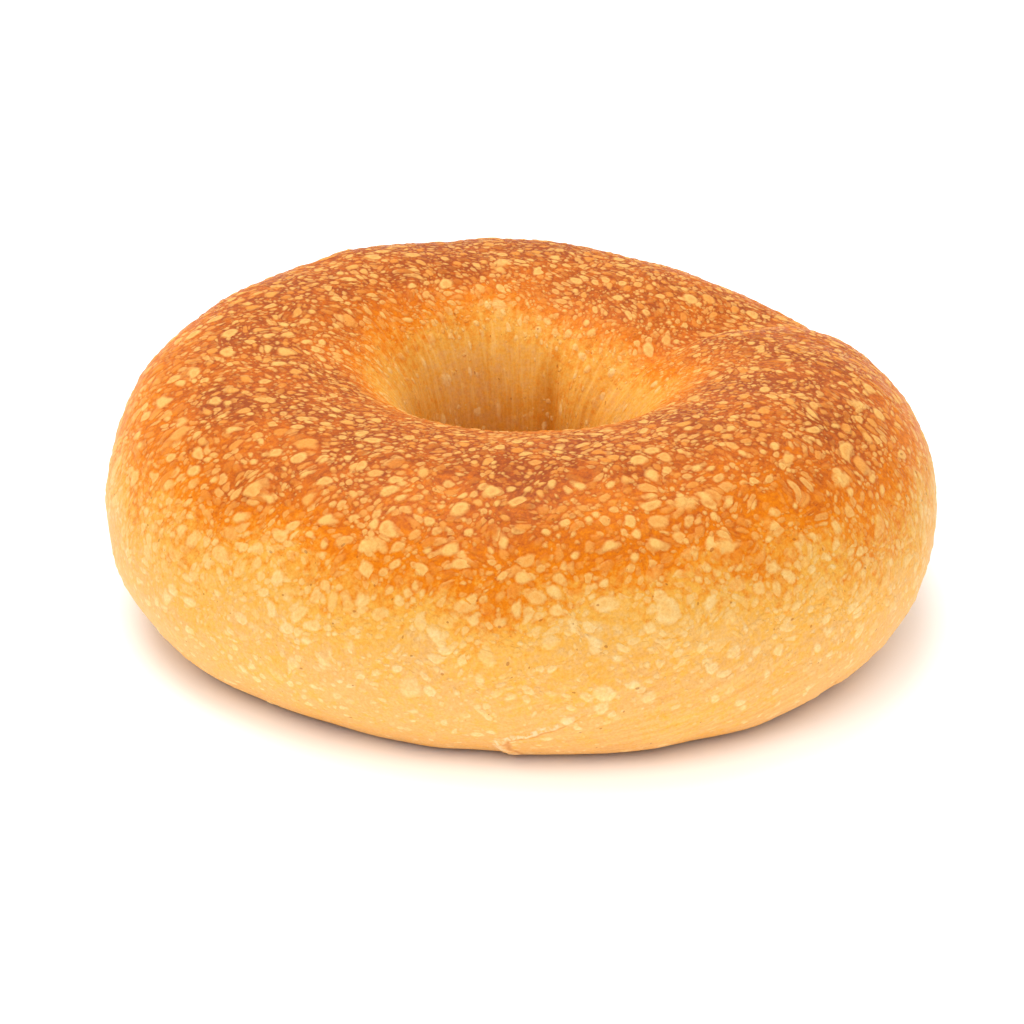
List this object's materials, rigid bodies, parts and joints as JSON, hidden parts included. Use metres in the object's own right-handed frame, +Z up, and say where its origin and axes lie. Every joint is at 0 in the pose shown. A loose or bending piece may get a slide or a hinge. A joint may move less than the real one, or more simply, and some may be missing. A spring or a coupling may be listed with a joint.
{
  "type": "bagel",
  "caption": "Plain baked bagel: a fat ring of dough with a small funnel-shaped hole, a lapped join and a blistered golden crust, resting flat.",
  "frame": {"origin": "centre of the bagel's bounding box, on the surface that it rests on", "axes": "+Z up, -Y towards the front, where the tail of the rolled dough shows, and +X to the right seen from the front"},
  "size_m": [0.1118, 0.111, 0.0388],
  "materials": {
    "crust": "satin"
  },
  "bodies": {
    "root": {"bagel": "crust"}
  },
  "joints": []
}
